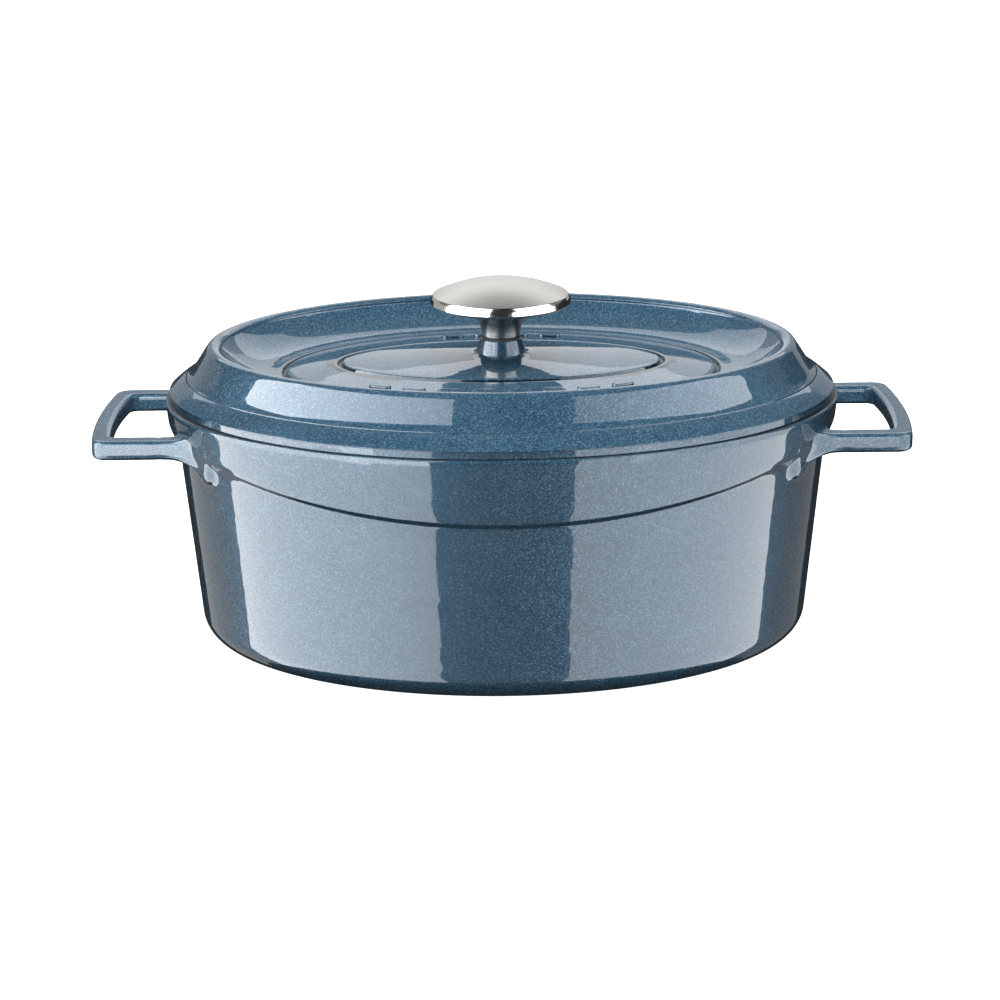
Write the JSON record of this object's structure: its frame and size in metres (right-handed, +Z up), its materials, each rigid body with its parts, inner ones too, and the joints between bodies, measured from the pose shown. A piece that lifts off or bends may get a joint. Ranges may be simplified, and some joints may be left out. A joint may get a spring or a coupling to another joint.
{
  "type": "oval cast iron dutch oven",
  "caption": "Oval enamelled cast iron dutch oven with cast loop handles and a lift-off dished lid with a round steel knob.",
  "frame": {"origin": "centre of the foot, on the surface that the pot stands on", "axes": "+Z up out of the pot, +X along the oval's long axis through the two handles, +Y across it"},
  "size_m": [0.3676, 0.2304, 0.1642],
  "materials": {
    "pot_enamel": "glossy metallic blue enamel outside, matt dark enamel inside",
    "lid_enamel": "glossy metallic blue enamel outside, matt dark enamel underneath",
    "knob_steel": "brushed top with a polished bevel",
    "stem_steel": "polished",
    "fastener_steel": "bright zinc or stainless",
    "gasket_rubber": "matt black"
  },
  "bodies": {
    "pot": {"pot_body": "pot_enamel"},
    "lid": {"lid": "lid_enamel", "knob_cap": "knob_steel", "knob_stem": "stem_steel", "knob_insert": "fastener_steel", "knob_gasket": "gasket_rubber", "flat_washer": "fastener_steel", "lock_washer": "fastener_steel", "knob_screw": "fastener_steel"}
  },
  "joints": [
    {"name": "lid_lift", "type": "slide", "parent": "pot", "child": "lid", "axis": [0, 0, 1], "range_m": [0, 0.15]}
  ]
}
